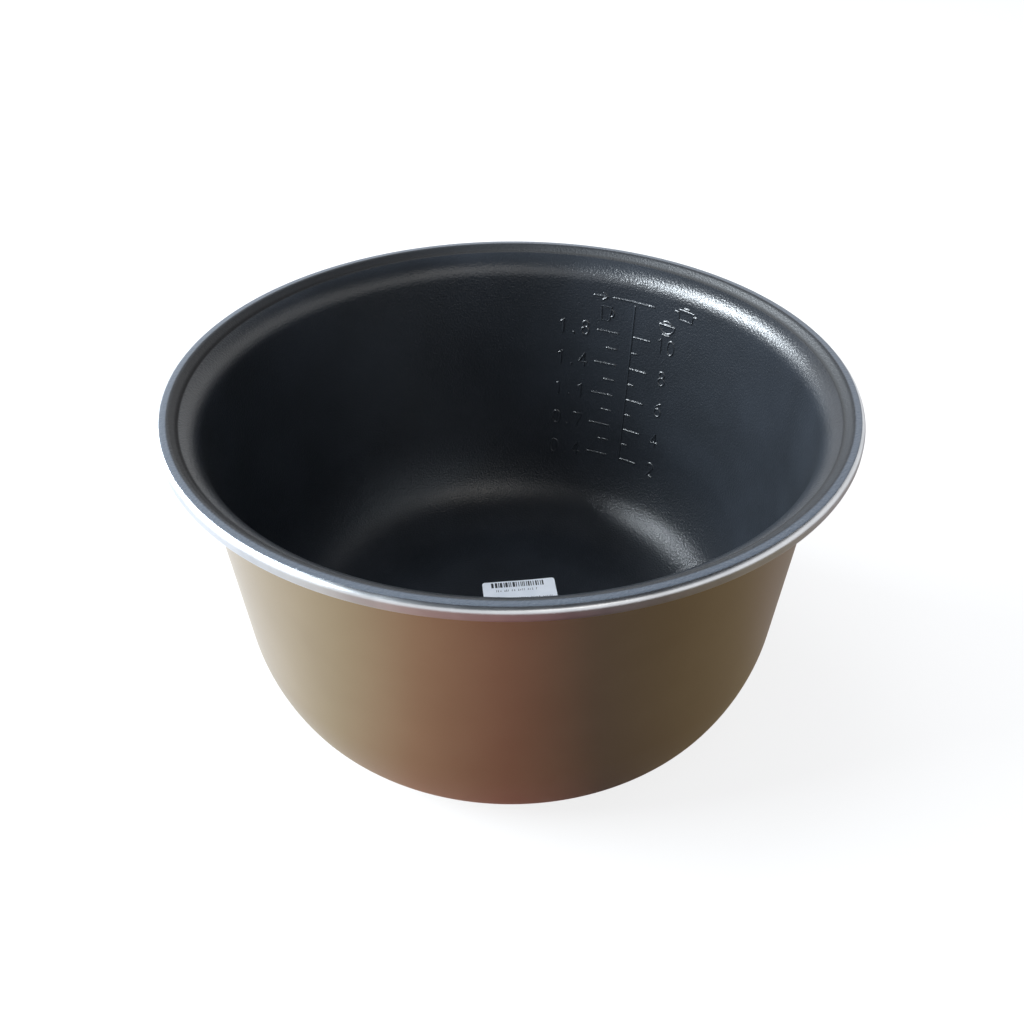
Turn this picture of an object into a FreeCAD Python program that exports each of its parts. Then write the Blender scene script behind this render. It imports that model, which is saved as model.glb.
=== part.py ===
import FreeCAD, Part
import math
import os
from collections import namedtuple
from FreeCAD import Vector

# The removable inner pot of a rice cooker: a deep-drawn aluminium bowl with a coined foot ring,
# a drafted wall, a flared lip and a rolled bead, its three coats, and the paper label that
# is stuck to its floor. Millimetres and degrees. +Z is up, the pot's axis is Z, and the origin
# is where that axis meets the surface the pot stands on.

# Overall
rim_radius = 128.0          # axis to the nose of the rolled bead, the widest point
pot_height = 136.0          # table to the coated crest of the bead

# Sheet and coats
sheet = 1.6
lining_coat = 0.2
outer_coat = 0.2
base_coat = 0.2

# Bowl, on the outer face of the bare metal
wall_draft = 5.0            # the wall leans outward by this from the vertical
corner_radius = 74.5        # large sweep from the wall towards the base
base_blend = 33.0           # smaller sweep that runs onto the foot ring
corner_run = 35.5           # foot ring's outer edge to the wall, level with the blend's centre
foot_width = 6.0            # flat ring that the pot stands on
dome_rise = 0.6             # the floor inside the ring stands this much higher
dome_slope = 5.0            # slope between the ring and the raised floor
dome_bend = 30.0            # bends at both ends of that slope
base_coat_share = 0.4       # the base coat covers this share of the base blend

# Flared lip and rolled bead
lip_width = 4.6             # wall line to the groove at the bead's foot
lip_slope = 23.5            # slope of the lip where it runs into the groove
lip_bend = 10.0             # inside radius of the sheet where the wall flares into the lip
bead_width = 7.2            # groove to the nose
bead_rise = 2.6             # groove to crest
rise_slope = 45.0           # slope of the bead's inner side
nose_height = 5.6           # crest to the underside of the curl
curl_lip = 1.0              # straight end of the curl
groove_bend = 0.35          # inside radius in the groove
crest_bend = 0.3            # inside radius where the bead's side turns level
bead_bend = 0.5             # inside radius of the nose and of the curl
bare_width = 1.5            # the lining is turned off the nose over this width

# Level marks, coined in relief on the wall
mark_height = 0.35          # they stand this proud of the lining
mark_width = 0.9
marks_azimuth = 30.3        # from +Y towards +X, where the dividing line stands
first_level = 37.5          # table to the lowest mark
level_pitch = 16.05         # between two long ticks
levels = 5
long_tick = 9.0
short_tick = 3.2
left_gap = 7.0              # dividing line to the right end of the left ticks
left_long_tick = 10.0
left_short_tick = 4.8
full_line_above = 16.8      # top long tick to the full line
full_line_reach = (-10.5, 9.5)
digit_height = 6.6
digit_width = 3.4
digit_pitch = 5.4           # from one digit to the next
right_number_gap = 17.4     # dividing line to the middle of the right numbers
left_number_gap = 28.6      # dividing line to the middle of the left numbers
right_numbers = ("2", "4", "6", "8", "10")
left_numbers = ("0.4", "0.7", "1.1", "1.4", "1.8")

# Label on the floor
label_length = 34.5
label_width = 25.0
label_corner = 1.5
label_centre = (4.6, 26.8)
label_turn = 6.2
paper = 0.12
adhesive = 0.08
ink = 0.04
bar_margin = 1.6            # bars to the label's far edge and to its ends
bar_height = 3.0
bar_pitch = 0.95
line_height = 0.7           # each printed line below the bars
line_gap = 2.3              # bars to first line, and line to line
line_shares = (0.86, 0.7)   # length of each line between the margins
word_length = 3.6
word_space = 1.1

tool_reach = 2.0            # the marking tool reaches this far to each side of the wall's face
tiny = 1e-6

# Derived
groove_radius = rim_radius - bead_width
wall_radius = groove_radius - lip_width             # the wall's line, level with the groove
groove_z = pot_height - lining_coat - bead_rise - sheet
crest_z = groove_z + bead_rise
lining_face = sheet + lining_coat
floor_z = base_coat + dome_rise + lining_face
nose_centre_radius = rim_radius - sheet - bead_bend
wall_heading = 90.0 - wall_draft

# A bend of the sheet in the section through the axis. Headings are measured from the outward
# direction towards +Z, walking from the axis along the base and up the wall, so the cooking
# side lies to the left. The radius is that of the metal's outer face.
Bend = namedtuple("Bend", "radius centre_r centre_z heading_in heading_out")


def sine(degrees):
    return math.sin(math.radians(degrees))


def cosine(degrees):
    return math.cos(math.radians(degrees))


def step_run(radius_sum, step, slope):
    """Distance between the centres of two opposite bends that a straight slope joins."""
    return (radius_sum + (step - radius_sum) * cosine(slope)) / sine(slope)


def corner_bends():
    """The base blend and the large corner, tangent to each other and to the wall."""
    blend_z = base_coat + base_blend
    wall_at_blend = wall_radius - (groove_z - blend_z) * math.tan(math.radians(wall_draft))
    flat_radius = wall_at_blend - corner_run
    inward = corner_radius - corner_run * cosine(wall_draft)
    upward = math.sqrt((corner_radius - base_blend) ** 2 - inward ** 2)
    centre_r = flat_radius + upward * sine(wall_draft) - inward * cosine(wall_draft)
    centre_z = blend_z + upward * cosine(wall_draft) + inward * sine(wall_draft)
    joint = math.degrees(math.atan2(flat_radius - centre_r, centre_z - blend_z))
    blend = Bend(base_blend, flat_radius, blend_z, 0.0, joint)
    corner = Bend(corner_radius, centre_r, centre_z, joint, wall_heading)
    return blend, corner


def lip_bend_into(groove):
    """The bend from the wall's line to the lip's, which runs straight into the groove."""
    lean = math.tan(math.radians(wall_draft))
    end_r = groove.centre_r + groove.radius * sine(lip_slope)
    end_z = groove.centre_z - groove.radius * cosine(lip_slope)
    back = end_r - wall_radius - (end_z - groove_z) * lean
    lip_length = back / (cosine(lip_slope) - lean * sine(lip_slope))
    share = math.tan(math.radians((wall_heading - lip_slope) / 2))
    radius = min(lip_bend, lip_length / share)
    bend_end = lip_length - radius * share
    centre_r = end_r - bend_end * cosine(lip_slope) + radius * sine(lip_slope)
    centre_z = end_z - bend_end * sine(lip_slope) - radius * cosine(lip_slope)
    return Bend(radius, centre_r, centre_z, wall_heading, lip_slope)


def sheet_bends():
    """Every bend of the sheet, by name, from the axis to the end of the curl."""
    blend, corner = corner_bends()
    foot_r = blend.centre_r - foot_width
    dome_r = foot_r - step_run(2 * dome_bend, dome_rise, dome_slope)
    fold = groove_bend + sheet
    groove = Bend(fold, groove_radius, groove_z + fold, lip_slope, rise_slope)
    crest_r = groove_radius + step_run(fold + crest_bend, bead_rise, rise_slope)
    curl_z = crest_z + sheet - nose_height + sheet + bead_bend
    return {
        "dome": Bend(dome_bend, dome_r, base_coat + dome_rise - dome_bend, 0.0, -dome_slope),
        "foot": Bend(dome_bend, foot_r, base_coat + dome_bend, -dome_slope, 0.0),
        "blend": blend,
        "corner": corner,
        "lip": lip_bend_into(groove),
        "groove": groove,
        "crest": Bend(crest_bend, crest_r, crest_z - crest_bend, rise_slope, 0.0),
        "nose": Bend(bead_bend, nose_centre_radius, crest_z - bead_bend, 0.0, -90.0),
        "curl": Bend(bead_bend, nose_centre_radius, curl_z, -90.0, -180.0),
    }


bends = sheet_bends()
order = list(bends)
coat_edge = ("blend", base_coat_share * bends["blend"].heading_out)


def bend_point(name, heading, inset):
    """Point of the section on the face that lies this far inside the metal's outer face."""
    bend = bends[name]
    turn = 1 if bend.heading_out > bend.heading_in else -1
    radius = bend.radius - turn * inset
    return Vector(bend.centre_r + turn * radius * sine(heading), 0,
                  bend.centre_z - turn * radius * cosine(heading))


def section_run(inset, start, stop, tail=0.0):
    """Edges of one face of the sheet between two stations, each a bend's name and a heading.
    A start of None is the axis, and the tail is a straight run past the stop."""
    edges = []
    first = order.index(start[0]) if start else 0
    last = order.index(stop[0])
    here = bend_point(start[0], start[1], inset) if start else None
    for name in order[first:last + 1]:
        bend = bends[name]
        begin = start[1] if start and name == start[0] else bend.heading_in
        end = stop[1] if name == stop[0] else bend.heading_out
        entry = bend_point(name, begin, inset)
        if here is None:
            here = Vector(0, 0, entry.z)
        if here.distanceToPoint(entry) > tiny:
            edges.append(Part.LineSegment(here, entry).toShape())
        here = entry
        if abs(end - begin) > tiny:
            middle = bend_point(name, (begin + end) / 2, inset)
            here = bend_point(name, end, inset)
            edges.append(Part.Arc(entry, middle, here).toShape())
    if tail:
        beyond = here + Vector(cosine(stop[1]), 0, sine(stop[1])) * tail
        edges.append(Part.LineSegment(here, beyond).toShape())
        here = beyond
    return edges, here


def layer(outer, inner, start, stop, tail=0.0):
    """A layer of the bowl between two insets, turned once round the axis."""
    outer_edges, outer_end = section_run(outer, start, stop, tail)
    inner_edges, inner_end = section_run(inner, start, stop, tail)
    closing = [Part.LineSegment(outer_end, inner_end).toShape()]
    outer_start = outer_edges[0].Vertexes[0].Point
    inner_start = inner_edges[0].Vertexes[0].Point
    closing.append(Part.LineSegment(outer_start, inner_start).toShape())
    wire = Part.Wire(Part.__sortEdges__(outer_edges + inner_edges + closing))
    return Part.Face(wire).revolve(Vector(0, 0, 0), Vector(0, 0, 1), 360)


def pot_shell():
    return layer(0.0, sheet, None, ("curl", -180.0), curl_lip)


def trim_heading():
    """Heading on the nose where the lining has been turned off the metal."""
    reach = rim_radius - bare_width - nose_centre_radius
    return -math.degrees(math.asin(reach / (bead_bend + sheet)))


def wall_face_radius(z):
    """Radius of the lining's face at a height on the straight wall."""
    lean = math.tan(math.radians(wall_draft))
    return wall_radius - (groove_z - z) * lean - lining_face / cosine(wall_draft)


def mark_point(across, z):
    """Point on the wall, so far to the right of the dividing line as seen from the axis."""
    radius = wall_face_radius(z)
    turned = marks_azimuth + math.degrees(across / radius)
    return Vector(radius * sine(turned), radius * cosine(turned), z)


def stroke_bar(start, end):
    """A bar through the wall between two places, each a distance across and a height."""
    p = mark_point(*start)
    q = mark_point(*end)
    along = (q - p).normalize()
    middle = (p + q) * 0.5
    outward = Vector(middle.x, middle.y, 0).normalize()
    across = outward.cross(along).normalize()
    deep = along.cross(across)
    length = p.distanceToPoint(q) + mark_width
    bar = Part.makeBox(length, mark_width, 2 * tool_reach,
                       Vector(-length / 2, -mark_width / 2, -tool_reach))
    bar.Placement = FreeCAD.Placement(middle, FreeCAD.Rotation(along, across, deep, "ZXY"))
    return bar


# A digit is walked over the corners of two stacked cells: a b on top, c d in the middle and
# e f below. A space lifts the tool.
digit_walks = {
    "0": "abfea", "1": "bf", "2": "abdcef", "4": "acd bf",
    "6": "baefdc", "7": "abf", "8": "abfea cd",
}
cell_corners = {"a": (0, 2), "b": (1, 2), "c": (0, 1), "d": (1, 1), "e": (0, 0), "f": (1, 0)}


def digit_strokes(digit, left, bottom):
    """Start and end of each stroke of one digit."""
    if digit == ".":
        middle = left + digit_width / 2
        return [((middle, bottom), (middle, bottom + mark_width / 2))]
    ends = []
    for walk in digit_walks[digit].split():
        places = []
        for corner in walk:
            column, row = cell_corners[corner]
            places.append((left + column * digit_width, bottom + row * digit_height / 2))
        ends.extend(zip(places[:-1], places[1:]))
    return ends


def number_strokes(text, middle, z):
    """Strokes of a number centred on a place on the wall."""
    ends = []
    left = middle - (digit_pitch * (len(text) - 1) + digit_width) / 2
    for index, digit in enumerate(text):
        ends.extend(digit_strokes(digit, left + index * digit_pitch, z - digit_height / 2))
    return ends


def level_strokes():
    """Start and end of every stroke of the level scale."""
    top = first_level + (levels - 1) * level_pitch
    full = top + full_line_above
    ends = [((full_line_reach[0], full), (full_line_reach[1], full))]
    ends.append(((0.0, first_level - mark_width), (0.0, full - 2 * mark_width)))
    for step in range(levels):
        z = first_level + step * level_pitch
        ends.append(((mark_width, z), (long_tick, z)))
        ends.append(((-left_gap - left_long_tick, z), (-left_gap, z)))
        ends.extend(number_strokes(right_numbers[step], right_number_gap, z))
        ends.extend(number_strokes(left_numbers[step], -left_number_gap, z))
    for step in range(levels - 1):
        z = first_level + (step + 0.5) * level_pitch
        ends.append(((mark_width, z), (short_tick, z)))
        ends.append(((-left_gap - left_short_tick, z), (-left_gap, z)))
    return ends


def nonstick_lining():
    """The lining, with the level scale standing out of it."""
    lining = layer(sheet, lining_face, None, ("nose", trim_heading()))
    band = layer(sheet + lining_coat / 2, lining_face + mark_height,
                 ("corner", bends["corner"].heading_in), ("lip", wall_heading))
    bars = [stroke_bar(start, end) for start, end in level_strokes()]
    marks = band.common(bars[0].fuse(bars[1:]))
    return lining.fuse(marks)


def outer_lacquer():
    """The coloured coat, from the base coat's edge up to the bead's foot."""
    return layer(-outer_coat, 0.0, coat_edge, ("groove", lip_slope))


def heat_coat():
    """The black heat-absorbing coat of the base and the foot of its blend."""
    return layer(-base_coat, 0.0, None, coat_edge)


def label_slab(bottom, thickness):
    """A layer of the label, flat on the floor, with rounded corners."""
    slab = Part.makeBox(label_length, label_width, thickness,
                        Vector(-label_length / 2, -label_width / 2, bottom))
    upright = [edge for edge in slab.Edges
               if abs(edge.tangentAt(edge.FirstParameter).z) > 0.5]
    return slab.makeFillet(label_corner, upright)


def place_label(shape):
    turned = shape.copy()
    turned.rotate(Vector(0, 0, 0), Vector(0, 0, 1), label_turn)
    turned.translate(Vector(label_centre[0], label_centre[1], 0))
    return turned


def label_adhesive():
    return place_label(label_slab(floor_z, adhesive))


def label_paper():
    return place_label(label_slab(floor_z + adhesive, paper))


def label_print():
    """Plain bars along the label's far edge, and dashes in two lines below them."""
    z = floor_z + adhesive + paper
    reach = label_length / 2 - bar_margin
    top = label_width / 2 - bar_margin
    marks = []
    count = int(2 * reach / bar_pitch)
    for index in range(count):
        width = bar_pitch * (0.35 + 0.3 * ((index * 7) % 4 == 1))
        corner = Vector(-reach + index * bar_pitch, top - bar_height, z)
        marks.append(Part.makeBox(width, bar_height, ink, corner))
    for row, share in enumerate(line_shares):
        y = top - bar_height - (row + 1) * line_gap
        words = int(2 * reach * share / (word_length + word_space))
        for index in range(words):
            corner = Vector(-reach + index * (word_length + word_space), y, z)
            marks.append(Part.makeBox(word_length, line_height, ink, corner))
    return place_label(Part.makeCompound(marks))


makers = {
    "pot_shell": pot_shell,
    "nonstick_lining": nonstick_lining,
    "outer_coat": outer_lacquer,
    "base_coat": heat_coat,
    "label_adhesive": label_adhesive,
    "label_paper": label_paper,
    "label_print": label_print,
}

os.makedirs("parts", exist_ok=True)
for node, make in makers.items():
    shape = make()
    shape.exportStep("parts/" + node + ".step")
    box = shape.optimalBoundingBox(False)
    print(node, "solids", len(shape.Solids), "valid", shape.isValid(),
          "volume", round(shape.Volume, 1),
          "z", round(box.ZMin, 3), round(box.ZMax, 3), "half width", round(box.XMax, 3))
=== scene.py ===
import math
import random

import bpy
from mathutils import Matrix, Vector


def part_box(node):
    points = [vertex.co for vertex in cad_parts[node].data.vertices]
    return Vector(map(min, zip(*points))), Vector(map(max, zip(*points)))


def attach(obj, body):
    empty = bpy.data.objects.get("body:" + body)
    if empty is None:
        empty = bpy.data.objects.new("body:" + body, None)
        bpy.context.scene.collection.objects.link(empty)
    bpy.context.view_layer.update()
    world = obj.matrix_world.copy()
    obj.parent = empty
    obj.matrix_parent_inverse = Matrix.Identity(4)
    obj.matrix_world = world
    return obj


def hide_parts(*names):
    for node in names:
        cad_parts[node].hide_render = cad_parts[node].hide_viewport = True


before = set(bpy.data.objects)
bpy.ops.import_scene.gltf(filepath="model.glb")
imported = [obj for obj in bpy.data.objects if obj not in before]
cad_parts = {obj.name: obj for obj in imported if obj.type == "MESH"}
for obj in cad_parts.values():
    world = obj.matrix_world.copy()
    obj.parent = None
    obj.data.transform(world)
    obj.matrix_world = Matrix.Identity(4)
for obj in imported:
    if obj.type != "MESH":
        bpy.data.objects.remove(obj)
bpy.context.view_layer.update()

# Inner pot of a rice cooker. Metres and degrees, +Z up, the pot's axis is Z and it stands on z = 0.
mm = 0.001
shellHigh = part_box("pot_shell")[1]
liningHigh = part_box("nonstick_lining")[1]


def sine(degrees):
    return math.sin(math.radians(degrees))


def cosine(degrees):
    return math.cos(math.radians(degrees))


# the sheet's section: a chain of bends with straight runs between them

pot = {
    "rimRadius": shellHigh.x,
    "height": liningHigh.z,
    "sheet": 1.6 * mm,
    "coat": 0.2 * mm,
    "wallDraft": 5.0,
    "cornerRadius": 74.5 * mm,
    "baseBlend": 33 * mm,
    "cornerRun": 35.5 * mm,      # foot ring's outer edge to the wall
    "footWidth": 6 * mm,
    "domeRise": 0.6 * mm,
    "domeSlope": 5.0,
    "domeBend": 30 * mm,
    "baseCoatShare": 0.4,        # of the base blend
    "lipWidth": 4.6 * mm,
    "lipSlope": 23.5,
    "lipBend": 10 * mm,
    "beadWidth": 7.2 * mm,
    "beadRise": 2.6 * mm,
    "riseSlope": 45.0,
    "noseHeight": 5.6 * mm,
    "curlLip": 1.0 * mm,
    "grooveBend": 0.35 * mm,
    "crestBend": 0.3 * mm,
    "beadBend": 0.5 * mm,
    "bareWidth": 1.5 * mm,       # lining turned off the nose
    "columns": 300,              # facets round the pot
    "arcStep": 6.0,              # degrees between rings in a bend
}

grooveRadius = pot["rimRadius"] - pot["beadWidth"]
wallRadius = grooveRadius - pot["lipWidth"]
grooveZ = pot["height"] - pot["coat"] - pot["beadRise"] - pot["sheet"]
crestZ = grooveZ + pot["beadRise"]
liningFace = pot["sheet"] + pot["coat"]
floorZ = pot["coat"] + pot["domeRise"] + liningFace
noseCentre = pot["rimRadius"] - pot["sheet"] - pot["beadBend"]
wallHeading = 90 - pot["wallDraft"]


def stepRun(radiusSum, step, slope):
    return (radiusSum + (step - radiusSum) * cosine(slope)) / sine(slope)


def lipBend(groove, lean):
    # the wall's line turned into the lip's, which runs straight into the groove
    slope = pot["lipSlope"]
    endR = grooveRadius + groove * sine(slope)
    endZ = grooveZ + groove - groove * cosine(slope)
    back = endR - wallRadius - (endZ - grooveZ) * lean
    length = back / (cosine(slope) - lean * sine(slope))
    share = math.tan(math.radians((wallHeading - slope) / 2))
    radius = min(pot["lipBend"], length / share)
    rest = length - radius * share
    return (radius, endR - rest * cosine(slope) + radius * sine(slope),
            endZ - rest * sine(slope) - radius * cosine(slope), wallHeading, slope)


def makeBends():
    # name: (radius on the metal's outer face, centre r, centre z, heading in, heading out)
    blendZ = pot["coat"] + pot["baseBlend"]
    lean = math.tan(math.radians(pot["wallDraft"]))
    flatRadius = wallRadius - (grooveZ - blendZ) * lean - pot["cornerRun"]
    inward = pot["cornerRadius"] - pot["cornerRun"] * cosine(pot["wallDraft"])
    upward = math.sqrt((pot["cornerRadius"] - pot["baseBlend"]) ** 2 - inward ** 2)
    cornerR = flatRadius + upward * sine(pot["wallDraft"]) - inward * cosine(pot["wallDraft"])
    cornerZ = blendZ + upward * cosine(pot["wallDraft"]) + inward * sine(pot["wallDraft"])
    joint = math.degrees(math.atan2(flatRadius - cornerR, cornerZ - blendZ))
    bend = pot["domeBend"]
    footR = flatRadius - pot["footWidth"]
    domeR = footR - stepRun(2 * bend, pot["domeRise"], pot["domeSlope"])
    groove = pot["grooveBend"] + pot["sheet"]
    lip = lipBend(groove, lean)
    crest = pot["crestBend"]
    crestR = grooveRadius + stepRun(groove + crest, pot["beadRise"], pot["riseSlope"])
    curlZ = crestZ + 2 * pot["sheet"] + pot["beadBend"] - pot["noseHeight"]
    return {
        "dome": (bend, domeR, pot["coat"] + pot["domeRise"] - bend, 0, -pot["domeSlope"]),
        "foot": (bend, footR, pot["coat"] + bend, -pot["domeSlope"], 0),
        "blend": (pot["baseBlend"], flatRadius, blendZ, 0, joint),
        "corner": (pot["cornerRadius"], cornerR, cornerZ, joint, wallHeading),
        "lip": lip,
        "groove": (groove, grooveRadius, grooveZ + groove, pot["lipSlope"], pot["riseSlope"]),
        "crest": (crest, crestR, crestZ - crest, pot["riseSlope"], 0),
        "nose": (pot["beadBend"], noseCentre, crestZ - pot["beadBend"], 0, -90),
        "curl": (pot["beadBend"], noseCentre, curlZ, -90, -180),
    }


bends = makeBends()
bendOrder = list(bends)


def bendPoint(name, heading, inset):
    radius, centreR, centreZ, headingIn, headingOut = bends[name]
    turn = 1 if headingOut > headingIn else -1
    reach = turn * (radius - turn * inset)
    return centreR + reach * sine(heading), centreZ - reach * cosine(heading)


def faceRun(inset, start, stop, tail=0.0, spacing=None):
    # points of one face of the sheet, from the axis or a station to another station
    points = []
    first = bendOrder.index(start[0]) if start else 0
    for name in bendOrder[first:bendOrder.index(stop[0]) + 1]:
        begin = start[1] if start and name == start[0] else bends[name][3]
        end = stop[1] if name == stop[0] else bends[name][4]
        steps = max(1, math.ceil(abs(end - begin) / pot["arcStep"]))
        if name in ("corner", "blend"):
            steps *= 3
        if not points and not start:
            points.append((0.0, bendPoint(name, begin, inset)[1]))
        arc = [bendPoint(name, begin + (end - begin) * i / steps, inset) for i in range(steps + 1)]
        if points and spacing:
            here, there = points[-1], arc[0]
            parts = int(math.dist(here, there) / spacing) + 1
            for i in range(1, parts):
                points.append((here[0] + (there[0] - here[0]) * i / parts,
                               here[1] + (there[1] - here[1]) * i / parts))
        points.extend(arc)
    if tail:
        r, z = points[-1]
        points.append((r + tail * cosine(stop[1]), z + tail * sine(stop[1])))
    clean = [points[0]]
    for point in points[1:]:
        if math.dist(point, clean[-1]) > 1e-6:
            clean.append(point)
    return clean


def layerLoop(outer, inner, start, stop, tail=0.0, spacing=4 * mm):
    # the closed outline of a layer: out along one face and back along the other
    there = faceRun(outer, start, stop, tail, spacing)
    back = faceRun(inner, start, stop, tail, spacing)
    return there + back[::-1]


# mesh helpers

sharpAngle = 32


def addMesh(name, vertices, faces, material):
    mesh = bpy.data.meshes.new(name)
    mesh.from_pydata(vertices, [], faces)
    mesh.validate()
    mesh.update()
    mesh.shade_smooth()
    mesh.set_sharp_from_angle(angle=math.radians(sharpAngle))
    piece = bpy.data.objects.new(name, mesh)
    bpy.context.scene.collection.objects.link(piece)
    mesh.materials.append(material)
    return piece


def lathe(name, loop, material, columns=None, closed=False):
    # turns an outline round Z; points on the axis become one vertex each
    columns = columns or pot["columns"]
    vertices, rings = [], []
    for r, z in loop:
        if r < 1e-6:
            rings.append([len(vertices)])
            vertices.append((0, 0, z))
        else:
            rings.append(list(range(len(vertices), len(vertices) + columns)))
            for i in range(columns):
                angle = math.tau * i / columns
                vertices.append((r * math.cos(angle), r * math.sin(angle), z))
    faces = []
    pairs = list(zip(rings[:-1], rings[1:]))
    if closed:
        pairs.append((rings[-1], rings[0]))
    for low, high in pairs:
        for i in range(columns):
            j = (i + 1) % columns
            if len(low) == 1 and len(high) == 1:
                continue
            if len(low) == 1:
                faces.append((low[0], high[j], high[i]))
            elif len(high) == 1:
                faces.append((low[i], low[j], high[0]))
            else:
                faces.append((low[i], low[j], high[j], high[i]))
    return addMesh(name, vertices, faces, material)


def finishPiece(piece, node):
    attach(piece, "root")
    if node:
        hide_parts(node)
    return piece


# material helpers

def newMaterial(name):
    material = bpy.data.materials.new(name)
    material.use_nodes = True
    nodes = material.node_tree.nodes
    nodes.clear()
    output = nodes.new("ShaderNodeOutputMaterial")
    shader = nodes.new("ShaderNodeBsdfPrincipled")
    material.node_tree.links.new(shader.outputs["BSDF"], output.inputs["Surface"])
    return material, nodes, material.node_tree.links, shader


def objectPlace(nodes):
    return nodes.new("ShaderNodeTexCoord").outputs["Object"]


def noise(nodes, links, vector, scale, detail=2.0, rough=0.5):
    node = nodes.new("ShaderNodeTexNoise")
    node.inputs["Scale"].default_value = scale
    node.inputs["Detail"].default_value = detail
    node.inputs["Roughness"].default_value = rough
    links.new(vector, node.inputs["Vector"])
    return node.outputs["Fac"]


def ramp(nodes, links, factor, stops):
    node = nodes.new("ShaderNodeValToRGB")
    elements = node.color_ramp.elements
    while len(elements) < len(stops):
        elements.new(0.5)
    for element, (place, colour) in zip(elements, stops):
        element.position = place
        element.color = (*colour, 1) if len(colour) == 3 else colour
    links.new(factor, node.inputs["Fac"])
    return node.outputs["Color"]


def span(nodes, links, factor, low, high, fromLow=0.0, fromHigh=1.0):
    node = nodes.new("ShaderNodeMapRange")
    node.inputs["From Min"].default_value = fromLow
    node.inputs["From Max"].default_value = fromHigh
    node.inputs["To Min"].default_value = low
    node.inputs["To Max"].default_value = high
    links.new(factor, node.inputs["Value"])
    return node.outputs["Result"]


def bump(nodes, links, height, distance, strength=1.0, under=None):
    node = nodes.new("ShaderNodeBump")
    node.inputs["Strength"].default_value = strength
    node.inputs["Distance"].default_value = distance
    links.new(height, node.inputs["Height"])
    if under:
        links.new(under, node.inputs["Normal"])
    return node.outputs["Normal"]


def sectionPlace(nodes, links, scale):
    # (r, z) stretched into a vector, so that a noise on it runs in rings round the axis
    parts = nodes.new("ShaderNodeSeparateXYZ")
    links.new(objectPlace(nodes), parts.inputs[0])
    flat = nodes.new("ShaderNodeCombineXYZ")
    links.new(parts.outputs["X"], flat.inputs["X"])
    links.new(parts.outputs["Y"], flat.inputs["Y"])
    length = nodes.new("ShaderNodeVectorMath")
    length.operation = "LENGTH"
    links.new(flat.outputs[0], length.inputs[0])
    joined = nodes.new("ShaderNodeCombineXYZ")
    links.new(length.outputs["Value"], joined.inputs["X"])
    links.new(parts.outputs["Z"], joined.inputs["Y"])
    stretched = nodes.new("ShaderNodeVectorMath")
    stretched.operation = "SCALE"
    stretched.inputs["Scale"].default_value = scale
    links.new(joined.outputs[0], stretched.inputs[0])
    return stretched.outputs[0]


# pot shell: bare turned aluminium

bareMetal = {
    "colour": (0.72, 0.74, 0.77),
    "dull": (0.60, 0.62, 0.65),
    "roughness": (0.26, 0.38),
    "turning": 5200,             # turned rings to a metre
    "turningDepth": 0.02 * mm,
    "patches": 60,
}


def bareAluminium():
    material, nodes, links, shader = newMaterial("bareAluminium")
    rings = sectionPlace(nodes, links, 1.0)
    fine = noise(nodes, links, rings, bareMetal["turning"], 1.0)
    broad = noise(nodes, links, objectPlace(nodes), bareMetal["patches"], 3.0)
    colour = ramp(nodes, links, broad, [(0.35, bareMetal["dull"]), (0.6, bareMetal["colour"])])
    links.new(colour, shader.inputs["Base Color"])
    links.new(span(nodes, links, broad, *bareMetal["roughness"]), shader.inputs["Roughness"])
    links.new(bump(nodes, links, fine, bareMetal["turningDepth"]), shader.inputs["Normal"])
    shader.inputs["Metallic"].default_value = 1.0
    return material


aluminium = bareAluminium()
shellLoop = layerLoop(0.0, pot["sheet"], None, ("curl", -180), pot["curlLip"])
potShell = lathe("potShell", shellLoop, aluminium)
finishPiece(potShell, "pot_shell")
print("pot shell: bowl and rolled bead done")

# nonstick lining

liningLook = {
    "dark": (0.010, 0.012, 0.015),
    "light": (0.016, 0.019, 0.024),
    "fleck": (0.08, 0.088, 0.10),
    "roughness": (0.25, 0.36),
    "grain": 1150,               # grains to a metre, about 1 mm apart
    "grainDepth": 0.20 * mm,
    "patches": 24,
    "fleckScale": 1600,
    "fleckReach": 0.16,          # of the gap between flecks
    "fleckPick": 0.74,           # flecks below this are left out
    "specular": 0.7,
    "creaseDulling": 0.5,        # added to the roughness in the crease
    "creaseShade": (0.004, 0.004, 0.005),    # painted shade in the groove at the bead's foot, fainter up its inner slope
    "crestSheen": (0.060, 0.070, 0.086),      # painted sheen on the bead's top, outward of the crest
}


def blendColours(nodes, links, share, first, second):
    node = nodes.new("ShaderNodeMix")
    node.data_type = "RGBA"
    links.new(share, node.inputs["Factor"])
    links.new(first, node.inputs[6])
    node.inputs[7].default_value = (*second, 1)
    return node.outputs[2]


def rimShares(nodes, links):
    # how far a point lies in the painted shade of the groove, and in the painted sheen on the bead's
    # top outward of the crest, by its radius
    parts = nodes.new("ShaderNodeSeparateXYZ")
    links.new(sectionPlace(nodes, links, 1.0), parts.inputs[0])
    radius = parts.outputs["X"]
    crest = bends["crest"][1]
    creaseShade = ramp(nodes, links, span(nodes, links, radius, 0, 1, grooveRadius - 2 * mm, crest),
                  [(0.0, (0, 0, 0)), (0.25, (0, 0, 0)), (0.34, (1, 1, 1)), (0.42, (1, 1, 1)),
                   (0.55, (0.5, 0.5, 0.5)), (0.95, (0.4, 0.4, 0.4)), (1.0, (0, 0, 0))])
    crestSheen = span(nodes, links, radius, 0, 1, crest - 0.3 * mm, crest + 0.3 * mm)
    return creaseShade, crestSheen


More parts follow.
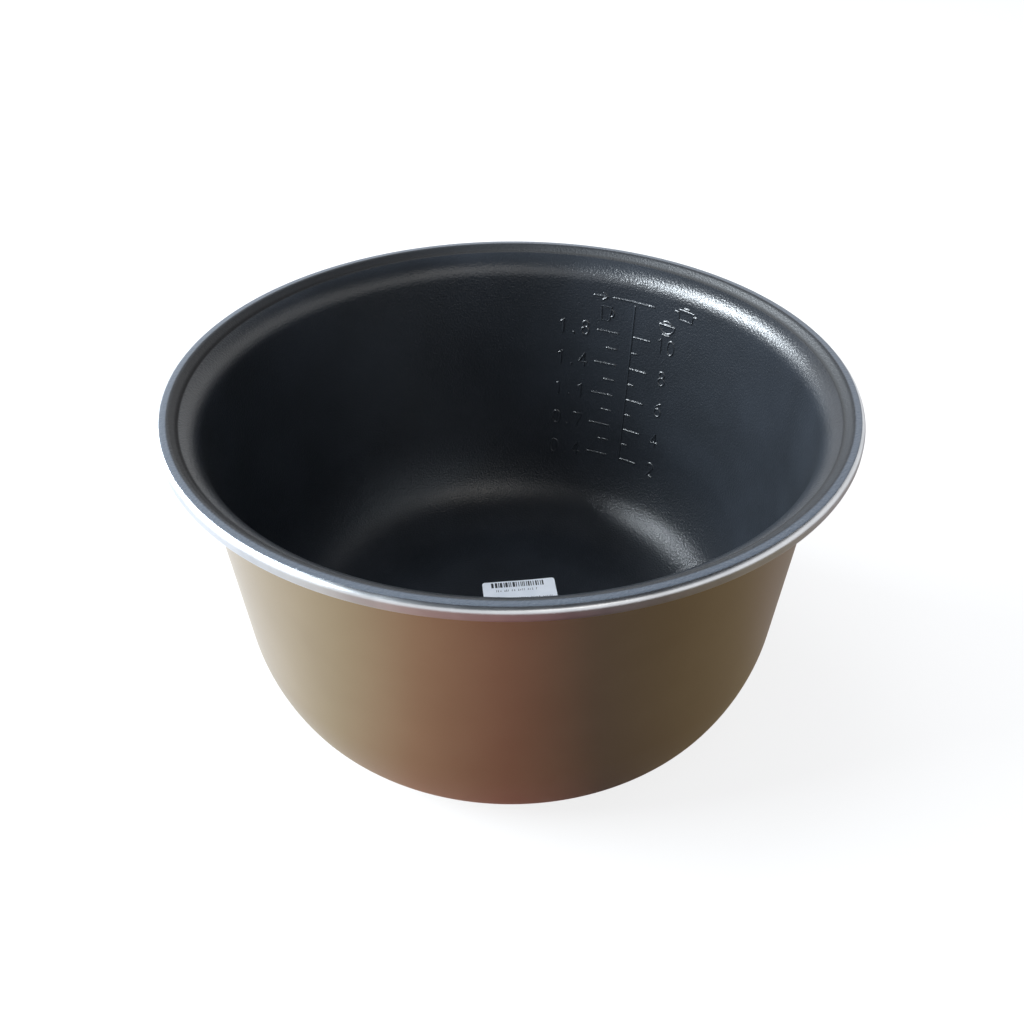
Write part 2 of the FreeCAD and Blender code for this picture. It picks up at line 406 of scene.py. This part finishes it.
def nonstickCoat():
    material, nodes, links, shader = newMaterial("nonstickCoat")
    place = objectPlace(nodes)
    broad = noise(nodes, links, place, liningLook["patches"], 3.0)
    grain = noise(nodes, links, place, liningLook["grain"], 2.0, 0.6)
    fleck = nodes.new("ShaderNodeTexVoronoi")
    fleck.inputs["Scale"].default_value = liningLook["fleckScale"]
    links.new(place, fleck.inputs["Vector"])
    flecks = ramp(nodes, links, fleck.outputs["Distance"],
                  [(0.0, (1, 1, 1)), (liningLook["fleckReach"], (0, 0, 0))])
    pick = nodes.new("ShaderNodeMath")
    pick.operation = "GREATER_THAN"
    pick.inputs[1].default_value = liningLook["fleckPick"]
    links.new(fleck.outputs["Color"], pick.inputs[0])
    chosen = nodes.new("ShaderNodeMath")
    chosen.operation = "MULTIPLY"
    links.new(flecks, chosen.inputs[0])
    links.new(pick.outputs[0], chosen.inputs[1])
    ground = ramp(nodes, links, broad, [(0.3, liningLook["dark"]), (0.7, liningLook["light"])])
    colour = blendColours(nodes, links, chosen.outputs[0], ground, liningLook["fleck"])
    creaseShade, crestSheen = rimShares(nodes, links)
    # painted shade: darker in the groove and up the bead's inner slope
    colour = blendColours(nodes, links, creaseShade, colour, liningLook["creaseShade"])
    # painted sheen: lighter on the bead's top, outward of the crest
    colour = blendColours(nodes, links, crestSheen, colour, liningLook["crestSheen"])
    links.new(colour, shader.inputs["Base Color"])
    duller = nodes.new("ShaderNodeMath")
    duller.operation = "MULTIPLY_ADD"
    duller.inputs[1].default_value = liningLook["creaseDulling"]
    links.new(creaseShade, duller.inputs[0])
    links.new(span(nodes, links, grain, *liningLook["roughness"]), duller.inputs[2])
    links.new(duller.outputs[0], shader.inputs["Roughness"])
    links.new(bump(nodes, links, grain, liningLook["grainDepth"]), shader.inputs["Normal"])
    shader.inputs["Specular IOR Level"].default_value = liningLook["specular"]
    return material


nonstick = nonstickCoat()
trimReach = pot["rimRadius"] - pot["bareWidth"] - noseCentre
trimHeading = -math.degrees(math.asin(trimReach / (pot["beadBend"] + pot["sheet"])))
liningLoop = layerLoop(pot["sheet"], liningFace, None, ("nose", trimHeading))
lining = lathe("nonstickLining", liningLoop, nonstick)
finishPiece(lining, "nonstick_lining")
print("lining done")

# level scale: raised strokes on the wall

scale = {
    "azimuth": 30.3,             # dividing line, from +Y towards +X
    "firstLevel": 37.5 * mm,
    "pitch": 16.05 * mm,
    "levels": 5,
    "longTick": 9.0 * mm,
    "shortTick": 3.2 * mm,
    "leftGap": 7.0 * mm,
    "leftLongTick": 10.0 * mm,
    "leftShortTick": 4.8 * mm,
    "fullLineAbove": 16.8 * mm,
    "fullLine": (-10.5 * mm, 9.5 * mm),
    "digitHeight": 6.6 * mm,
    "digitWidth": 3.8 * mm,
    "digitPitch": 5.4 * mm,
    "rightNumbers": ("2", "4", "6", "8", "10"),
    "leftNumbers": ("0.4", "0.7", "1.1", "1.4", "1.8"),
    "rightNumberGap": 17.4 * mm,
    "leftNumberGap": 28.6 * mm,
    "halfWidth": 0.42 * mm,
    "height": 0.33 * mm,
    "sink": 0.06 * mm,
}


def wallFaceRadius(z):
    # lining's face on the straight wall, or on the large corner below it
    radius, centreR, centreZ, headingIn, headingOut = bends["corner"]
    inner = radius - liningFace
    if z < centreZ - inner * cosine(headingOut):
        return centreR + math.sqrt(inner ** 2 - (centreZ - z) ** 2)
    lean = math.tan(math.radians(pot["wallDraft"]))
    return wallRadius - (grooveZ - z) * lean - liningFace / cosine(pot["wallDraft"])


def wallPoint(across, z, lift):
    radius = wallFaceRadius(z)
    angle = math.radians(scale["azimuth"]) + across / radius
    radius -= lift * cosine(pot["wallDraft"])
    return Vector((radius * math.sin(angle), radius * math.cos(angle),
                   z + lift * sine(pot["wallDraft"])))


# the ridge across a stroke, as shares of its half width and height, from one side to the other
ridge = [(-1.7, -1.0), (-1.25, 0.02), (-0.85, 0.42), (-0.45, 0.88), (0, 1.0),
         (0.45, 0.88), (0.85, 0.42), (1.25, 0.02), (1.7, -1.0)]


def ridgeLift(share):
    return scale["height"] * share if share > 0 else -scale["sink"] * abs(share)


def strokeMesh(path, vertices, faces):
    # sweeps the ridge along a path of (across, z) points, with rounded ends
    joined = math.dist(path[0], path[-1]) < 1e-7
    points = path[:-1] if joined else path
    count = len(points)
    rings = []
    for i, (x, z) in enumerate(points):
        before = points[(i - 1) % count] if joined or i > 0 else points[i]
        after = points[(i + 1) % count] if joined or i < count - 1 else points[i]
        dx, dz = after[0] - before[0], after[1] - before[1]
        size = math.hypot(dx, dz)
        rings.append((x, z, dx / size, dz / size, 1.0))
    if not joined:
        caps = 4
        first, last = rings[0], rings[-1]
        for i in range(1, caps + 1):
            angle = 90 * i / caps
            grow = 1.2 * scale["halfWidth"] * sine(angle)
            shrink = max(cosine(angle), 0.05)
            rings.insert(0, (first[0] - first[2] * grow, first[1] - first[3] * grow,
                             first[2], first[3], shrink))
            rings.append((last[0] + last[2] * grow, last[1] + last[3] * grow,
                          last[2], last[3], shrink))
    start = len(vertices)
    for x, z, dx, dz, size in rings:
        for offset, share in ridge:
            side = offset * scale["halfWidth"] * size
            lift = ridgeLift(share * size if share > 0 else share)
            vertices.append(wallPoint(x - dz * side, z + dx * side, lift))
    wide = len(ridge)
    total = len(rings)
    for i in range(total if joined else total - 1):
        j = (i + 1) % total
        for k in range(wide):
            m = (k + 1) % wide
            faces.append((start + i * wide + k, start + j * wide + k,
                          start + j * wide + m, start + i * wide + m))
    if not joined:
        faces.append([start + k for k in range(wide)])
        faces.append([start + (total - 1) * wide + k for k in reversed(range(wide))])


def straight(x0, z0, x1, z1):
    steps = max(1, int(math.hypot(x1 - x0, z1 - z0) / (1.5 * mm)))
    return [(x0 + (x1 - x0) * i / steps, z0 + (z1 - z0) * i / steps) for i in range(steps + 1)]


def oval(x, z, rx, rz, begin, end):
    steps = max(6, int(abs(end - begin) / 12))
    return [(x + rx * cosine(begin + (end - begin) * i / steps),
             z + rz * sine(begin + (end - begin) * i / steps)) for i in range(steps + 1)]


# each digit in a cell one wide and one high
digits = {
    "0": [oval(0.5, 0.5, 0.46, 0.5, 90, 450)],
    "1": [[(0.28, 0.82), (0.56, 1.0), (0.56, 0.5), (0.56, 0.0)]],
    "2": [oval(0.5, 0.72, 0.42, 0.28, 165, -38) + [(0.06, 0.0), (0.5, 0.0), (0.96, 0.0)]],
    "4": [[(0.72, 0.0), (0.72, 0.5), (0.72, 1.0), (0.04, 0.30), (0.5, 0.30), (1.0, 0.30)]],
    "6": [oval(0.5, 0.29, 0.44, 0.29, 90, 450), oval(0.98, 0.30, 0.92, 0.70, 100, 178)],
    "7": [[(0.04, 1.0), (0.5, 1.0), (0.96, 1.0), (0.66, 0.5), (0.38, 0.0)]],
    "8": [oval(0.5, 0.77, 0.35, 0.23, 90, 450), oval(0.5, 0.27, 0.44, 0.27, 90, 450)],
    ".": [[(0.5, 0.0), (0.5, 0.06)]],
}

# plain pictures where headings would stand: a cup, a bowl, a pan and a full-level arrow
pictures = {
    "cup": [[(0.1, 1.0), (0.18, 0.0), (0.72, 0.0), (0.8, 1.0), (0.1, 1.0)],
            oval(0.8, 0.55, 0.22, 0.26, 75, -75)],
    "bowl": [[(0.0, 0.72), (1.0, 0.72)] + oval(0.5, 0.72, 0.5, 0.6, 0, -180),
             [(0.3, 0.0), (0.7, 0.0)],
             oval(0.5, 0.72, 0.3, 0.28, 0, 180)],
    "pan": [[(0.0, 0.8), (0.08, 0.08), (0.92, 0.08), (1.0, 0.8), (0.0, 0.8)],
            [(0.36, 1.0), (0.64, 1.0)], [(-0.2, 0.62), (-0.02, 0.62)], [(1.02, 0.62), (1.2, 0.62)]],
    "arrow": [[(0.0, 0.5), (1.0, 0.5)], [(0.66, 0.84), (1.0, 0.5), (0.66, 0.16)]],
}


def placeStrokes(strokes, left, bottom, width, height):
    return [[(left + x * width, bottom + z * height) for x, z in path] for path in strokes]


def numberPaths(text, middle, z):
    paths = []
    left = middle - (scale["digitPitch"] * (len(text) - 1) + scale["digitWidth"]) / 2
    for i, digit in enumerate(text):
        paths += placeStrokes(digits[digit], left + i * scale["digitPitch"],
                              z - scale["digitHeight"] / 2, scale["digitWidth"], scale["digitHeight"])
    return paths


def scalePaths():
    top = scale["firstLevel"] + (scale["levels"] - 1) * scale["pitch"]
    full = top + scale["fullLineAbove"]
    paths = [straight(scale["fullLine"][0], full, scale["fullLine"][1], full)]
    paths.append(straight(0, scale["firstLevel"] - 1 * mm, 0, full - 2 * mm))
    for step in range(scale["levels"]):
        z = scale["firstLevel"] + step * scale["pitch"]
        paths.append(straight(0.9 * mm, z, scale["longTick"], z))
        paths.append(straight(-scale["leftGap"] - scale["leftLongTick"], z, -scale["leftGap"], z))
        paths += numberPaths(scale["rightNumbers"][step], scale["rightNumberGap"], z)
        paths += numberPaths(scale["leftNumbers"][step], -scale["leftNumberGap"], z)
    for step in range(scale["levels"] - 1):
        z = scale["firstLevel"] + (step + 0.5) * scale["pitch"]
        paths.append(straight(0.9 * mm, z, scale["shortTick"], z))
        paths.append(straight(-scale["leftGap"] - scale["leftShortTick"], z, -scale["leftGap"], z))
    row = top + 5.4 * mm
    paths += placeStrokes(pictures["cup"], -17 * mm, row, 7 * mm, 6.6 * mm)
    paths += placeStrokes(pictures["bowl"], 13 * mm, row, 8 * mm, 6.6 * mm)
    paths += placeStrokes(pictures["arrow"], -20 * mm, full - 2.6 * mm, 6.5 * mm, 5 * mm)
    paths += placeStrokes(pictures["pan"], 22 * mm, full - 2.4 * mm, 8 * mm, 6.2 * mm)
    return paths


scaleVertices, scaleFaces = [], []
for path in scalePaths():
    strokeMesh(path, scaleVertices, scaleFaces)
levelScale = addMesh("levelScale", scaleVertices, scaleFaces, nonstick)
finishPiece(levelScale, None)
print("level scale:", len(scalePaths()), "strokes done")

# outer coat

goldLook = {
    "light": (0.44, 0.355, 0.235),
    "dark": (0.38, 0.30, 0.195),
    "roughness": (0.27, 0.35),
    "grain": 2600,
    "grainDepth": 0.010 * mm,
    "metallic": 0.95,
    "patches": 14,
}


def goldCoat():
    material, nodes, links, shader = newMaterial("champagneCoat")
    place = objectPlace(nodes)
    broad = noise(nodes, links, place, goldLook["patches"], 3.0)
    grain = noise(nodes, links, place, goldLook["grain"], 2.0, 0.6)
    colour = ramp(nodes, links, broad, [(0.3, goldLook["dark"]), (0.7, goldLook["light"])])
    links.new(colour, shader.inputs["Base Color"])
    links.new(span(nodes, links, grain, *goldLook["roughness"]), shader.inputs["Roughness"])
    links.new(bump(nodes, links, grain, goldLook["grainDepth"]), shader.inputs["Normal"])
    shader.inputs["Metallic"].default_value = goldLook["metallic"]
    return material


coatEdge = ("blend", pot["baseCoatShare"] * bends["blend"][4])
outerLoop = layerLoop(-pot["coat"], 0.0, coatEdge, ("groove", pot["lipSlope"]))
outerCoat = lathe("outerCoat", outerLoop, goldCoat(), closed=True)
finishPiece(outerCoat, "outer_coat")
print("outer coat done")

# base coat

baseLook = {
    "dark": (0.010, 0.010, 0.011),
    "light": (0.024, 0.024, 0.025),
    "roughness": (0.50, 0.68),
    "grain": 1500,
    "grainDepth": 0.03 * mm,
    "rings": 900,
    "ringDepth": 0.04 * mm,
}


def blackCoat():
    material, nodes, links, shader = newMaterial("blackBaseCoat")
    place = objectPlace(nodes)
    grain = noise(nodes, links, place, baseLook["grain"], 3.0, 0.6)
    rings = noise(nodes, links, sectionPlace(nodes, links, 1.0), baseLook["rings"], 2.0)
    colour = ramp(nodes, links, grain, [(0.35, baseLook["dark"]), (0.65, baseLook["light"])])
    links.new(colour, shader.inputs["Base Color"])
    links.new(span(nodes, links, grain, *baseLook["roughness"]), shader.inputs["Roughness"])
    under = bump(nodes, links, rings, baseLook["ringDepth"])
    links.new(bump(nodes, links, grain, baseLook["grainDepth"], 1.0, under), shader.inputs["Normal"])
    return material


baseLoop = layerLoop(-pot["coat"], 0.0, None, coatEdge)
baseCoat = lathe("baseCoat", baseLoop, blackCoat())
finishPiece(baseCoat, "base_coat")
print("base coat done")

# label on the floor

label = {
    "length": 34.5 * mm,
    "width": 25.0 * mm,
    "corner": 1.5 * mm,
    "centre": (4.6 * mm, 26.8 * mm),
    "turn": 6.2,
    "adhesive": 0.08 * mm,
    "paper": 0.12 * mm,
    "ink": 0.03 * mm,
    "curl": 0.45 * mm,           # lift of the far right corner
    "wave": 0.06 * mm,
    "seed": 11,
    "rows": 24,
    "columns": 36,
    "cornerSteps": 5,
}


def labelPlace(x, y, z):
    turned = Matrix.Rotation(math.radians(label["turn"]), 3, "Z") @ Vector((x, y, 0))
    return (turned.x + label["centre"][0], turned.y + label["centre"][1], z)


def labelLift(x, y):
    across = x / (label["length"] / 2)
    along = y / (label["width"] / 2)
    corner = max(0, across + along - 1.35) / 0.65
    left = max(0, -across - along - 1.5) / 0.5
    wave = label["wave"] * (1 + math.sin(across * 5 + 1) * math.cos(along * 4)) / 2
    return wave + label["curl"] * (corner ** 2 + 0.4 * left ** 2)


def labelHalfLength(y):
    beyond = abs(y) - (label["width"] / 2 - label["corner"])
    if beyond <= 0:
        return label["length"] / 2
    rounding = math.sqrt(max(0, label["corner"] ** 2 - beyond ** 2))
    return label["length"] / 2 - label["corner"] + rounding


def labelSlab(name, bottom, thickness, lifted, material):
    edge = label["width"] / 2 - label["corner"]
    count, steps = label["rows"], label["cornerSteps"]
    rows = [-edge + 2 * edge * i / count for i in range(count + 1)]
    corner = [edge + label["corner"] * sine(90 * i / steps) for i in range(1, steps + 1)]
    rows = [-y for y in reversed(corner)] + rows + corner
    columns = label["columns"]
    top, low = [], []
    for y in rows:
        half = labelHalfLength(y)
        for i in range(columns + 1):
            x = -half + 2 * half * i / columns
            lift = labelLift(x, y) if lifted else 0
            top.append(labelPlace(x, y, bottom + thickness + lift))
            low.append(labelPlace(x, y, bottom + (lift if lifted == "both" else 0)))
    vertices = top + low
    wide, total = columns + 1, len(top)
    faces = []
    for j in range(len(rows) - 1):
        for i in range(columns):
            a, b = j * wide + i, j * wide + i + 1
            faces.append((a, b, b + wide, a + wide))
            faces.append((total + a, total + a + wide, total + b + wide, total + b))
    border = list(range(wide))
    border += [j * wide + columns for j in range(1, len(rows))]
    border += [(len(rows) - 1) * wide + i for i in reversed(range(columns))]
    border += [j * wide for j in reversed(range(1, len(rows) - 1))]
    for a, b in zip(border, border[1:] + border[:1]):
        faces.append((a, total + a, total + b, b))
    return addMesh(name, vertices, faces, material)


paperLook = {"dark": (0.66, 0.70, 0.76), "light": (0.76, 0.79, 0.84), "patches": 90,
             "fibre": 2400, "fibreDepth": 0.012 * mm, "roughness": (0.45, 0.65)}


def paperMaterial():
    material, nodes, links, shader = newMaterial("labelPaper")
    place = objectPlace(nodes)
    broad = noise(nodes, links, place, paperLook["patches"], 3.0)
    fibre = noise(nodes, links, place, paperLook["fibre"], 4.0, 0.7)
    colour = ramp(nodes, links, broad, [(0.3, paperLook["dark"]), (0.7, paperLook["light"])])
    links.new(colour, shader.inputs["Base Color"])
    links.new(span(nodes, links, fibre, *paperLook["roughness"]), shader.inputs["Roughness"])
    links.new(bump(nodes, links, fibre, paperLook["fibreDepth"]), shader.inputs["Normal"])
    return material


adhesiveLook = {"dark": (0.62, 0.62, 0.57), "light": (0.74, 0.74, 0.70), "patches": 700,
                "depth": 0.02 * mm, "roughness": (0.25, 0.45)}


def adhesiveMaterial():
    material, nodes, links, shader = newMaterial("labelAdhesive")
    broad = noise(nodes, links, objectPlace(nodes), adhesiveLook["patches"], 3.0)
    colour = ramp(nodes, links, broad, [(0.3, adhesiveLook["dark"]), (0.7, adhesiveLook["light"])])
    links.new(colour, shader.inputs["Base Color"])
    links.new(span(nodes, links, broad, *adhesiveLook["roughness"]), shader.inputs["Roughness"])
    links.new(bump(nodes, links, broad, adhesiveLook["depth"]), shader.inputs["Normal"])
    return material


inkLook = {"dark": (0.010, 0.011, 0.014), "light": (0.05, 0.052, 0.06), "specks": 5000,
           "roughness": (0.4, 0.6)}


def inkMaterial():
    material, nodes, links, shader = newMaterial("labelInk")
    speck = noise(nodes, links, objectPlace(nodes), inkLook["specks"], 2.0)
    colour = ramp(nodes, links, speck, [(0.3, inkLook["dark"]), (0.75, inkLook["light"])])
    links.new(colour, shader.inputs["Base Color"])
    links.new(span(nodes, links, speck, *inkLook["roughness"]), shader.inputs["Roughness"])
    return material


def inkMark(vertices, faces, x, y, width, height, slant=0.0):
    # one printed mark: a thin slab that follows the paper
    start = len(vertices)
    base = floorZ + label["adhesive"] + label["paper"]
    for lift in (-0.2 * label["ink"], label["ink"]):
        for dx, dy in ((0, 0), (width, 0), (width + slant, height), (slant, height)):
            z = base + labelLift(x + dx, y + dy) + lift
            vertices.append(labelPlace(x + dx, y + dy, z))
    faces += [[start + 3, start + 2, start + 1, start], [start + 4, start + 5, start + 6, start + 7]]
    for a, b in ((0, 1), (1, 2), (2, 3), (3, 0)):
        faces.append([start + a, start + b, start + b + 4, start + a + 4])


def printMesh(material):
    draw = random.Random(label["seed"])
    vertices, faces = [], []
    # bars along the far edge
    top = label["width"] / 2 - 0.9 * mm
    barHeight = 3.4 * mm
    x = -label["length"] / 2 + 4.2 * mm
    end = label["length"] / 2 - 5.0 * mm
    while x < end:
        width = draw.choice((0.4, 0.45, 0.75, 1.1)) * mm
        inkMark(vertices, faces, x, top - barHeight, min(width, end - x), barHeight)
        x += width + draw.choice((0.35, 0.45, 0.7)) * mm
    # unreadable lines of fine print below
    for y, left, right, tall in ((5.2, 6.2, 9.0, 1.5), (-0.6, 8.5, 1.6, 1.4), (-4.6, 5.0, 8.0, 1.4),
                                 (-8.6, 5.0, 13.0, 1.4)):
        x = -label["length"] / 2 + left * mm
        end = label["length"] / 2 - right * mm
        while x < end:
            height = tall * draw.uniform(0.7, 1.0) * mm
            wide = 0.24 * mm
            inkMark(vertices, faces, x, y * mm, wide, height, 0.25 * mm)
            if draw.random() < 0.75:
                across = draw.choice((0.0, 0.45, 0.8)) * height
                inkMark(vertices, faces, x + wide * 0.6, y * mm + across, 0.5 * mm, 0.17 * mm)
            x += draw.choice((0.8, 0.95, 1.1, 1.9)) * mm
    return addMesh("labelPrint", vertices, faces, material)


adhesive = labelSlab("labelAdhesive", floorZ, label["adhesive"] * 0.999, None, adhesiveMaterial())
finishPiece(adhesive, "label_adhesive")
paper = labelSlab("labelPaper", floorZ + label["adhesive"], label["paper"], "both", paperMaterial())
finishPiece(paper, "label_paper")
ink = printMesh(inkMaterial())
finishPiece(ink, "label_print")
print("label done")

# floor

floorLook = {"size": 8.0, "colour": (0.86, 0.86, 0.86), "lift": 0.8}


def seenDirectly(nodes, links):
    # 1 for what the camera sees itself, in a mirror or through glass
    path = nodes.new("ShaderNodeLightPath")
    share = path.outputs["Is Camera Ray"]
    for kind in ("Is Glossy Ray", "Is Transmission Ray"):
        either = nodes.new("ShaderNodeMath")
        either.operation = "MAXIMUM"
        links.new(share, either.inputs[0])
        links.new(path.outputs[kind], either.inputs[1])
        share = either.outputs[0]
    return share


def floorMaterial():
    material, nodes, links, shader = newMaterial("paleFloor")
    broad = noise(nodes, links, objectPlace(nodes), 3, 2.0)
    low = tuple(0.985 * c for c in floorLook["colour"])
    colour = ramp(nodes, links, broad, [(0.3, low), (0.7, floorLook["colour"])])
    links.new(colour, shader.inputs["Base Color"])
    shader.inputs["Roughness"].default_value = 0.9
    shader.inputs["Specular IOR Level"].default_value = 0.1
    share = span(nodes, links, seenDirectly(nodes, links), 0.0, floorLook["lift"])
    glow = nodes.new("ShaderNodeEmission")
    glow.inputs["Strength"].default_value = 1.0
    mix = nodes.new("ShaderNodeMixShader")
    links.new(share, mix.inputs["Fac"])
    links.new(shader.outputs["BSDF"], mix.inputs[1])
    links.new(glow.outputs["Emission"], mix.inputs[2])
    output = [n for n in nodes if n.type == "OUTPUT_MATERIAL"][0]
    links.new(mix.outputs["Shader"], output.inputs["Surface"])
    return material


half = floorLook["size"] / 2
floor = addMesh("floor", [(-half, -half, 0), (half, -half, 0), (half, half, 0), (-half, half, 0)],
                [(0, 1, 2, 3)], floorMaterial())

# what the coats mirror, out of the camera's sight

mirrored = {
    # degrees round the pot from +X, and the light that comes off the table there
    "table": [(0, (0.33, 0.29, 0.28)), (90, (0.5, 0.5, 0.5)), (165, (1.2, 1.28, 1.4)),
              (199, (1.0, 1.04, 1.1)), (222, (0.72, 0.70, 0.66)), (246, (0.50, 0.32, 0.28)),
              (268, (0.29, 0.13, 0.12)), (292, (0.085, 0.06, 0.06)), (317, (0.16, 0.125, 0.085)),
              (341, (0.24, 0.20, 0.145)), (360, (0.33, 0.29, 0.28))],
    "tableFrom": 90 * mm,
    "tableTo": 800 * mm,
    "tableLift": 1.5 * mm,
    "ceiling": (0.035, 0.038, 0.045),
    "ceilingSize": 3.4,
    "ceilingHeight": 1.5,
}


def hideFromCamera(piece):
    piece.visible_camera = False
    piece.visible_shadow = False
    piece.visible_diffuse = False


def glowMaterial(name):
    material, nodes, links, shader = newMaterial(name)
    output = [n for n in nodes if n.type == "OUTPUT_MATERIAL"][0]
    nodes.remove(shader)
    glow = nodes.new("ShaderNodeEmission")
    links.new(glow.outputs["Emission"], output.inputs["Surface"])
    return material, nodes, links, glow


def tableMaterial():
    # colour by the angle round the pot
    material, nodes, links, glow = glowMaterial("mirroredTable")
    parts = nodes.new("ShaderNodeSeparateXYZ")
    links.new(objectPlace(nodes), parts.inputs[0])
    angle = nodes.new("ShaderNodeMath")
    angle.operation = "ARCTAN2"
    links.new(parts.outputs["Y"], angle.inputs[0])
    links.new(parts.outputs["X"], angle.inputs[1])
    turned = nodes.new("ShaderNodeMath")
    turned.operation = "WRAP"
    turned.inputs[1].default_value = math.tau
    turned.inputs[2].default_value = 0
    links.new(angle.outputs[0], turned.inputs[0])
    share = span(nodes, links, turned.outputs[0], 0, 1, 0, math.tau)
    colour = ramp(nodes, links, share, [(a / 360, c) for a, c in mirrored["table"]])
    links.new(colour, glow.inputs["Color"])
    return material


def ceilingMaterial():
    material, nodes, links, glow = glowMaterial("mirroredCeiling")
    broad = noise(nodes, links, objectPlace(nodes), 1.5, 2.0)
    dark = tuple(0.8 * c for c in mirrored["ceiling"])
    links.new(ramp(nodes, links, broad, [(0.3, dark), (0.7, mirrored["ceiling"])]),
              glow.inputs["Color"])
    return material


tableLoop = [(mirrored[end], mirrored["tableLift"]) for end in ("tableFrom", "tableTo")]
hideFromCamera(lathe("mirroredTable", tableLoop, tableMaterial(), columns=96))
reach = mirrored["ceilingSize"] / 2
high = mirrored["ceilingHeight"]
ceilingCorners = [(-reach, -reach, high), (reach, -reach, high),
                  (reach, reach, high), (-reach, reach, high)]
hideFromCamera(addMesh("mirroredCeiling", ceilingCorners, [(3, 2, 1, 0)], ceilingMaterial()))

# light

lamps = {
    "window": {"place": (-1.30, 0.10, 0.84), "aim": (0, 0, 0.1), "size": (1.4, 0.4), "power": 84,
               "colour": (0.86, 0.94, 1.0)},
    "top": {"place": (-0.3, 0.35, 1.3), "aim": (0, 0, 0), "size": (0.9, 0.9), "power": 12,
            "colour": (0.93, 0.97, 1.0), "mirrored": False},
    "fill": {"place": (0.5, -1.3, 1.1), "aim": (0, 0, 0.08), "size": (0.9, 0.4), "power": 2,
             "colour": (1.0, 0.96, 0.9)},
}


def addLamp(name, lamp):
    data = bpy.data.lights.new(name, "AREA")
    data.shape = "RECTANGLE"
    data.size, data.size_y = lamp["size"]
    data.energy = lamp["power"]
    data.color = lamp["colour"]
    piece = bpy.data.objects.new(name, data)
    bpy.context.scene.collection.objects.link(piece)
    piece.location = lamp["place"]
    piece.visible_glossy = lamp.get("mirrored", True)
    aim = Vector(lamp["aim"]) - Vector(lamp["place"])
    piece.rotation_euler = aim.to_track_quat("-Z", "Y").to_euler()


for name, lamp in lamps.items():
    addLamp(name, lamp)

world = bpy.data.worlds.new("studio")
bpy.context.scene.world = world
world.use_nodes = True
worldLook = {"ambient": (0.60, 0.65, 0.73), "shown": (1.0, 1.0, 1.0)}
worldNodes, worldLinks = world.node_tree.nodes, world.node_tree.links
worldNodes.clear()
sky = worldNodes.new("ShaderNodeBackground")
skyMix = worldNodes.new("ShaderNodeMix")
skyMix.data_type = "RGBA"
skyOut = worldNodes.new("ShaderNodeOutputWorld")
worldLinks.new(seenDirectly(worldNodes, worldLinks), skyMix.inputs["Factor"])
skyMix.inputs[6].default_value = (*worldLook["ambient"], 1)
skyMix.inputs[7].default_value = (*worldLook["shown"], 1)
worldLinks.new(skyMix.outputs[2], sky.inputs["Color"])
worldLinks.new(sky.outputs["Background"], skyOut.inputs["Surface"])

# camera

view = {
    "distance": 0.400,           # to the rim's centre
    "elevation": 29.86,
    "lookDown": 7.16,            # further down than the rim's centre
    "lookRight": 0.06,
    "roll": -0.22,
    "focal": 37.53,
    "sensor": 36.0,
    "rimPlane": liningHigh.z - 0.3 * mm,
}


def addCamera():
    centre = Vector((0, 0, view["rimPlane"]))
    outward = Vector((0, -cosine(view["elevation"]), sine(view["elevation"])))
    place = centre + view["distance"] * outward
    forward = (centre - place).normalized()
    right = Vector((1, 0, 0))
    up = right.cross(forward)
    pitch = view["lookDown"]
    forward, up = (forward * cosine(pitch) - up * sine(pitch),
                   up * cosine(pitch) + forward * sine(pitch))
    yaw = view["lookRight"]
    forward, right = (forward * cosine(yaw) + right * sine(yaw),
                      right * cosine(yaw) - forward * sine(yaw))
    roll = view["roll"]
    right, up = right * cosine(roll) + up * sine(roll), up * cosine(roll) - right * sine(roll)
    data = bpy.data.cameras.new("camera")
    data.lens = view["focal"]
    data.sensor_width = view["sensor"]
    data.clip_start = 0.01
    data.clip_end = 50
    camera = bpy.data.objects.new("camera", data)
    bpy.context.scene.collection.objects.link(camera)
    turn = Matrix((right, up, -forward)).transposed().to_4x4()
    camera.matrix_world = Matrix.Translation(place) @ turn
    bpy.context.scene.camera = camera


addCamera()
bpy.context.scene.view_settings.view_transform = "Standard"
print("floor, light and camera done")
